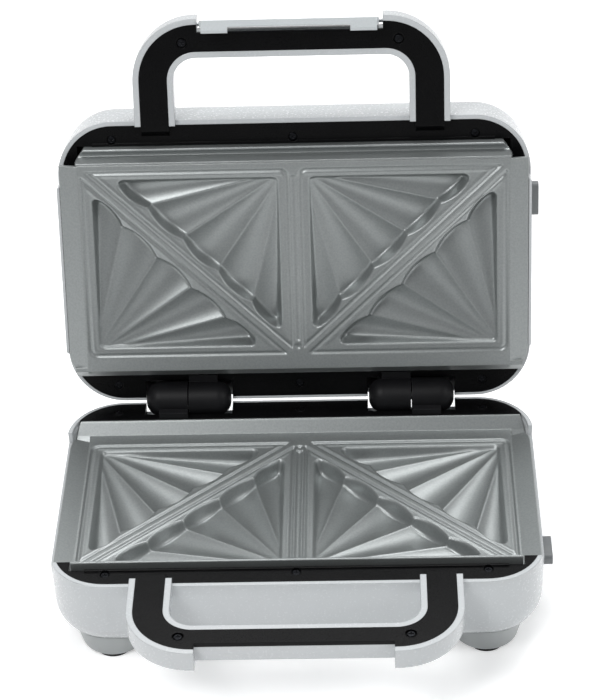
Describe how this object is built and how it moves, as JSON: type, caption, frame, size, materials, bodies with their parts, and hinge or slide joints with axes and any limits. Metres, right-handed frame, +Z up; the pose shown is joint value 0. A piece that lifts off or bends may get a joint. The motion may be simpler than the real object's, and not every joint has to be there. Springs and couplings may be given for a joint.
{
  "type": "sandwich toaster",
  "caption": "Countertop sandwich toaster with two hinged halves, grey plates with fan-shaped triangular pockets, loop handles, a latch clip and plate release buttons.",
  "frame": {"origin": "on the worktop under the middle of the whole object's box, with the lid open", "axes": "+X to the object's right, +Y from the handle to the hinge, +Z up"},
  "size_m": [0.2842, 0.3208, 0.2976],
  "materials": {
    "cord_gland": "satin black moulded plastic",
    "feet": "glossy moulded plastic",
    "foot_pads": "matt rubber",
    "hinge_pins": "plated steel",
    "lamp_holders": "natural nylon",
    "latch_clip": "pale moulded plastic",
    "latch_pin": "plated steel",
    "live_lead": "sleeved wire",
    "lower_catch_spring": "plated steel",
    "lower_ceramic_bushes": "glazed ceramic",
    "lower_element": "sheathed heating tube",
    "lower_frame": "satin black moulded plastic",
    "lower_frame_screws": "blackened steel",
    "lower_handle_screws": "blackened steel",
    "lower_heat_shield": "folded sheet",
    "lower_housing": "glossy moulded plastic",
    "lower_knuckles": "satin black moulded plastic",
    "lower_plate": "cast plate with grey non-stick coat",
    "lower_plate_catch": "plated steel",
    "lower_plate_seat": "plated steel",
    "lower_release_button": "satin grey moulded plastic",
    "lower_shield_screws": "plated steel",
    "lower_thermostat": "plated steel",
    "neutral_lead": "sleeved wire",
    "power_lens": "clear red lens",
    "ready_lens": "clear green lens",
    "terminal_block": "natural nylon",
    "thermal_fuse": "glazed ceramic",
    "upper_catch_spring": "plated steel",
    "upper_ceramic_bushes": "glazed ceramic",
    "upper_element": "sheathed heating tube",
    "upper_frame": "satin black moulded plastic",
    "upper_frame_screws": "blackened steel",
    "upper_handle_screws": "blackened steel",
    "upper_heat_shield": "folded sheet",
    "upper_housing": "glossy moulded plastic",
    "upper_knuckles": "satin black moulded plastic",
    "upper_plate": "cast plate with grey non-stick coat",
    "upper_plate_catch": "plated steel",
    "upper_plate_seat": "plated steel",
    "upper_release_button": "satin grey moulded plastic",
    "upper_shield_screws": "plated steel",
    "upper_thermostat": "plated steel"
  },
  "bodies": {
    "base": {"lower_housing": "lower_housing", "lower_frame": "lower_frame", "lower_plate": "lower_plate", "lower_element": "lower_element", "lower_heat_shield": "lower_heat_shield", "lower_shield_screws": "lower_shield_screws", "lower_ceramic_bushes": "lower_ceramic_bushes", "lower_thermostat": "lower_thermostat", "thermal_fuse": "thermal_fuse", "terminal_block": "terminal_block", "live_lead": "live_lead", "neutral_lead": "neutral_lead", "cord_gland": "cord_gland", "lower_knuckles": "lower_knuckles", "hinge_pins": "hinge_pins", "lower_frame_screws": "lower_frame_screws", "lower_handle_screws": "lower_handle_screws", "lower_catch_spring": "lower_catch_spring", "lower_plate_seat": "lower_plate_seat", "feet": "feet", "foot_pads": "foot_pads"},
    "lid": {"upper_housing": "upper_housing", "upper_frame": "upper_frame", "upper_plate": "upper_plate", "upper_element": "upper_element", "upper_heat_shield": "upper_heat_shield", "upper_shield_screws": "upper_shield_screws", "upper_ceramic_bushes": "upper_ceramic_bushes", "upper_thermostat": "upper_thermostat", "upper_knuckles": "upper_knuckles", "upper_frame_screws": "upper_frame_screws", "upper_handle_screws": "upper_handle_screws", "upper_catch_spring": "upper_catch_spring", "upper_plate_seat": "upper_plate_seat", "latch_pin": "latch_pin", "power_lens": "power_lens", "ready_lens": "ready_lens", "lamp_holders": "lamp_holders"},
    "lower_button": {"lower_release_button": "lower_release_button", "lower_plate_catch": "lower_plate_catch"},
    "upper_button": {"upper_release_button": "upper_release_button", "upper_plate_catch": "upper_plate_catch"},
    "clip": {"latch_clip": "latch_clip"}
  },
  "joints": [
    {"name": "lid_hinge", "type": "hinge", "parent": "base", "child": "lid", "pos_m": [-0.00315, 0.07426, 0.064], "axis": [1, 0, 0], "range_deg": [0, 103.2]},
    {"name": "lower_release", "type": "slide", "parent": "base", "child": "lower_button", "axis": [-1, 0, 0], "range_m": [0, 0.0025], "stiffness_N_per_m": 400, "springref_m": -0.002, "deforming": ["lower_catch_spring"]},
    {"name": "upper_release", "type": "slide", "parent": "lid", "child": "upper_button", "axis": [-1, 0, 0], "range_m": [0, 0.0025], "stiffness_N_per_m": 400, "springref_m": -0.002, "deforming": ["upper_catch_spring"]},
    {"name": "clip_pivot", "type": "hinge", "parent": "lid", "child": "clip", "pos_m": [-0.00315, 0.13684, 0.28443], "axis": [-1, 0, 0], "range_deg": [-14, 30]}
  ]
}
